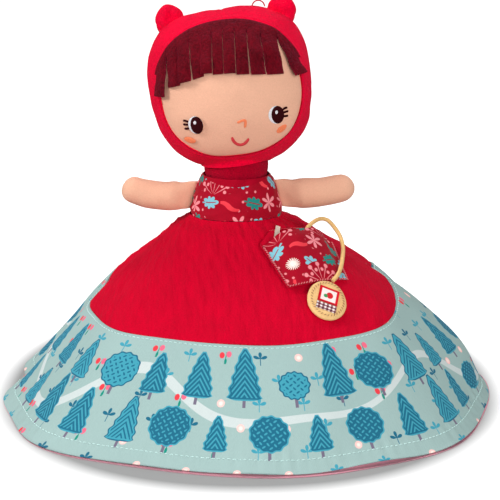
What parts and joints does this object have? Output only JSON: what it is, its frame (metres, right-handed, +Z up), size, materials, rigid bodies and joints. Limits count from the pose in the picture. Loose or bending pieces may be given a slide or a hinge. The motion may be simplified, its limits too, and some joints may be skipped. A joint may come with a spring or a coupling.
{
  "type": "topsy turvy doll",
  "caption": "Soft topsy turvy doll: a hooded girl over a wide printed skirt that hides another doll head down. Heads turn, arms swing, and a pouch with a charm lifts off the skirt.",
  "frame": {"origin": "middle of the skirt's hem, on the table that the hem and the hidden doll's crown rest on", "axes": "+Z up the doll, -Y the way the hooded girl faces, +X to her left"},
  "size_m": [0.349, 0.3563, 0.2789],
  "materials": {
    "skirt_upper_panel": "crinkled velour",
    "skirt_print_band": "printed cotton",
    "skirt_lining": "plain cotton",
    "torso_filling": "loose polyester filling",
    "bodice": "printed cotton",
    "second_bodice": "plain cotton",
    "neck_filling": "printed cotton",
    "head_filling": "loose polyester filling",
    "hood": "short fleece",
    "face_panel": "knitted jersey",
    "hair_fringe": "short fleece",
    "ear_left": "short fleece",
    "ear_right": "short fleece",
    "arm_left": "knitted jersey",
    "arm_right": "knitted jersey",
    "second_neck_filling": "plain cotton",
    "second_head_filling": "loose polyester filling",
    "second_cap": "plain cotton",
    "second_face_panel": "knitted jersey",
    "second_arm_left": "knitted jersey",
    "second_arm_right": "knitted jersey",
    "pouch_back": "crinkled velour",
    "pouch_front": "printed cotton",
    "pouch_strap": "woven ribbon",
    "pouch_cord": "felt",
    "charm_pad": "felt",
    "charm_patch": "embroidery thread",
    "charm_gingham": "checked cotton",
    "eye_white_left": "embroidery thread",
    "eye_iris_left": "embroidery thread",
    "cheek_left": "embroidery thread",
    "eye_white_right": "embroidery thread",
    "eye_iris_right": "embroidery thread",
    "cheek_right": "embroidery thread",
    "nose": "embroidery thread",
    "mouth": "embroidery thread",
    "second_eye_white_left": "embroidery thread",
    "second_eye_iris_left": "embroidery thread",
    "second_cheek_left": "embroidery thread",
    "second_eye_white_right": "embroidery thread",
    "second_eye_iris_right": "embroidery thread",
    "second_cheek_right": "embroidery thread",
    "second_nose": "embroidery thread",
    "second_mouth": "embroidery thread"
  },
  "bodies": {
    "skirt_and_body": {"skirt_upper_panel": "skirt_upper_panel", "skirt_print_band": "skirt_print_band", "skirt_lining": "skirt_lining", "torso_filling": "torso_filling", "bodice": "bodice", "second_bodice": "second_bodice"},
    "neck": {"neck_filling": "neck_filling"},
    "head": {"head_filling": "head_filling", "hood": "hood", "face_panel": "face_panel", "hair_fringe": "hair_fringe", "ear_left": "ear_left", "ear_right": "ear_right", "eye_white_left": "eye_white_left", "eye_iris_left": "eye_iris_left", "cheek_left": "cheek_left", "eye_white_right": "eye_white_right", "eye_iris_right": "eye_iris_right", "cheek_right": "cheek_right", "nose": "nose", "mouth": "mouth"},
    "arm_left": {"arm_left": "arm_left"},
    "arm_right": {"arm_right": "arm_right"},
    "second_head": {"second_neck_filling": "second_neck_filling", "second_head_filling": "second_head_filling", "second_cap": "second_cap", "second_face_panel": "second_face_panel", "second_eye_white_left": "second_eye_white_left", "second_eye_iris_left": "second_eye_iris_left", "second_cheek_left": "second_cheek_left", "second_eye_white_right": "second_eye_white_right", "second_eye_iris_right": "second_eye_iris_right", "second_cheek_right": "second_cheek_right", "second_nose": "second_nose", "second_mouth": "second_mouth"},
    "second_arm_left": {"second_arm_left": "second_arm_left"},
    "second_arm_right": {"second_arm_right": "second_arm_right"},
    "pouch": {"pouch_back": "pouch_back", "pouch_front": "pouch_front", "pouch_strap": "pouch_strap", "pouch_cord": "pouch_cord"},
    "charm": {"charm_pad": "charm_pad", "charm_patch": "charm_patch", "charm_gingham": "charm_gingham"}
  },
  "joints": [
    {"name": "neck_turn", "type": "hinge", "parent": "skirt_and_body", "child": "neck", "pos_m": [-0.008, 0, 0.163], "axis": [0, 0, 1], "range_deg": [-60, 60]},
    {"name": "head_tilt", "type": "hinge", "parent": "neck", "child": "head", "pos_m": [-0.008, 0, 0.163], "axis": [0, 1, 0], "range_deg": [-10, 20]},
    {"name": "arm_left_swing", "type": "hinge", "parent": "skirt_and_body", "child": "arm_left", "pos_m": [0.0228, 0, 0.1421], "axis": [-0.2766, 0, 0.961], "range_deg": [-45, 45]},
    {"name": "arm_right_swing", "type": "hinge", "parent": "skirt_and_body", "child": "arm_right", "pos_m": [-0.0388, 0, 0.1421], "axis": [-0.2766, 0, -0.961], "range_deg": [-45, 45]},
    {"name": "second_head_turn", "type": "hinge", "parent": "skirt_and_body", "child": "second_head", "pos_m": [-0.008, 0, 0.1], "axis": [0, 0, -1], "range_deg": [-45, 45]},
    {"name": "second_arm_left_swing", "type": "hinge", "parent": "skirt_and_body", "child": "second_arm_left", "pos_m": [-0.03519, 0, 0.1157], "axis": [0.3458, 0, -0.9383], "range_deg": [-20, 20]},
    {"name": "second_arm_right_swing", "type": "hinge", "parent": "skirt_and_body", "child": "second_arm_right", "pos_m": [0.01919, 0, 0.1157], "axis": [0.3458, 0, 0.9383], "range_deg": [-20, 20]},
    {"name": "pouch_lift", "type": "hinge", "parent": "skirt_and_body", "child": "pouch", "pos_m": [0.026, -0.0286, 0.12487], "axis": [-0.8424, -0.5362, 0.0534], "range_deg": [0, 75]},
    {"name": "charm_lift", "type": "hinge", "parent": "pouch", "child": "charm", "pos_m": [0.05611, -0.07168, 0.09571], "axis": [-0.9244, -0.0734, 0.3743], "range_deg": [0, 45]}
  ]
}
